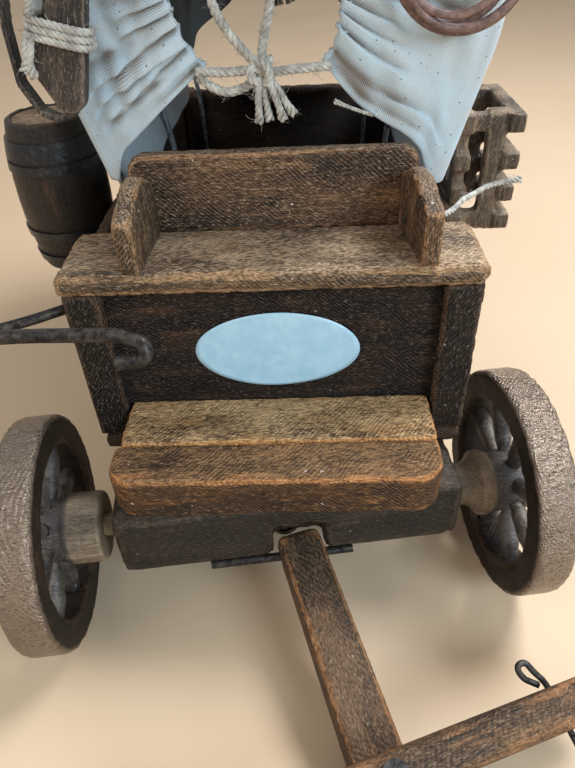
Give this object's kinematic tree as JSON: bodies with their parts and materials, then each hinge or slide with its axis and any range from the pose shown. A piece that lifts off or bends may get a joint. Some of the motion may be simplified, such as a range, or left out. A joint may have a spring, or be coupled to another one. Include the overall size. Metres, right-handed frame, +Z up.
{
  "type": "toy covered wagon",
  "caption": "Small handmade wooden covered wagon with turning spoked wheels, a steered front axle, a hinged pole with a swinging cross bar and a cloth cover on wire hoops.",
  "frame": {"origin": "middle of the footprint, on the floor", "axes": "+X to the wagon's left side, +Y to its rear, +Z up"},
  "size_m": [0.1554, 0.2897, 0.203],
  "materials": {
    "stained_wood": "dark stain, worn pale on the edges",
    "dark_wood": "near-black stain",
    "worn_wood": "dark stain rubbed through to brown",
    "pale_wood": "turned, hardly stained",
    "dark_iron": "dull black wire and pins",
    "grey_wire": "blue grey wire",
    "black_band": "black band with a soft shine",
    "cotton_cloth": "unbleached plain-woven cotton",
    "twine": "three-ply cotton string",
    "brown_cord": "smooth brown cord",
    "pale_label": "plain pale paper label"
  },
  "bodies": {
    "wagon": {"floor_board": "stained_wood", "side_wall_left": "stained_wood", "side_wall_right": "stained_wood", "front_panel": "dark_wood", "tail_panel": "dark_wood", "corner_posts": "stained_wood", "seat_board": "stained_wood", "seat_back": "stained_wood", "seat_arm_left": "stained_wood", "seat_arm_right": "stained_wood", "foot_board_rear": "worn_wood", "foot_board_front": "worn_wood", "front_bolster": "stained_wood", "rear_axle_block": "stained_wood", "rear_spindles": "pale_wood", "king_pin": "dark_iron", "cover_hoops": "grey_wire", "cover_cloth": "cotton_cloth", "drawstring_front": "twine", "drawstring_rear": "twine", "barrel": "dark_wood", "barrel_lid": "stained_wood", "barrel_hoops": "black_band", "crate": "stained_wood", "crate_string": "twine", "ox_yoke": "dark_wood", "ox_bow": "dark_wood", "yoke_tie": "twine", "drawstring_bow": "twine", "lariat_coil": "brown_cord", "brake_handle": "dark_iron", "blank_label": "pale_label"},
    "front_axle": {"front_axle_block": "stained_wood", "front_spindles": "pale_wood", "pole_hinge_pin": "dark_iron"},
    "pole": {"pole": "worn_wood", "cross_bar_peg": "dark_iron"},
    "cross_bar": {"cross_bar": "worn_wood", "cross_bar_wires": "dark_iron"},
    "front_left_wheel": {"front_left_rim": "stained_wood", "front_left_spokes": "dark_wood", "front_left_hub": "pale_wood"},
    "front_right_wheel": {"front_right_rim": "stained_wood", "front_right_spokes": "dark_wood", "front_right_hub": "pale_wood"},
    "rear_left_wheel": {"rear_left_rim": "stained_wood", "rear_left_spokes": "dark_wood", "rear_left_hub": "pale_wood"},
    "rear_right_wheel": {"rear_right_rim": "stained_wood", "rear_right_spokes": "dark_wood", "rear_right_hub": "pale_wood"}
  },
  "joints": [
    {"name": "steering", "type": "hinge", "parent": "wagon", "child": "front_axle", "pos_m": [0.0003, -0.0511, 0.031], "axis": [0, 0, 1], "range_deg": [-19, 5]},
    {"name": "pole_pitch", "type": "hinge", "parent": "front_axle", "child": "pole", "pos_m": [0.005, -0.06392, 0.0209], "axis": [-0.9925, -0.1219, 0], "range_deg": [-5, 35]},
    {"name": "cross_bar_swing", "type": "hinge", "parent": "pole", "child": "cross_bar", "pos_m": [0.0236, -0.11793, 0.01245], "axis": [0.0912, -0.265, 0.9599], "range_deg": [-20, 12]},
    {"name": "front_left_roll", "type": "hinge", "parent": "front_axle", "child": "front_left_wheel", "pos_m": [0.06476, -0.04722, 0.032], "axis": [0.9925, 0.1219, 0], "continuous": true},
    {"name": "front_right_roll", "type": "hinge", "parent": "front_axle", "child": "front_right_wheel", "pos_m": [-0.06318, -0.06292, 0.032], "axis": [0.9925, 0.1219, 0], "continuous": true},
    {"name": "rear_left_roll", "type": "hinge", "parent": "wagon", "child": "rear_left_wheel", "pos_m": [0.06475, 0.1069, 0.038], "axis": [1, 0, 0], "continuous": true},
    {"name": "rear_right_roll", "type": "hinge", "parent": "wagon", "child": "rear_right_wheel", "pos_m": [-0.06415, 0.1069, 0.038], "axis": [1, 0, 0], "continuous": true}
  ]
}
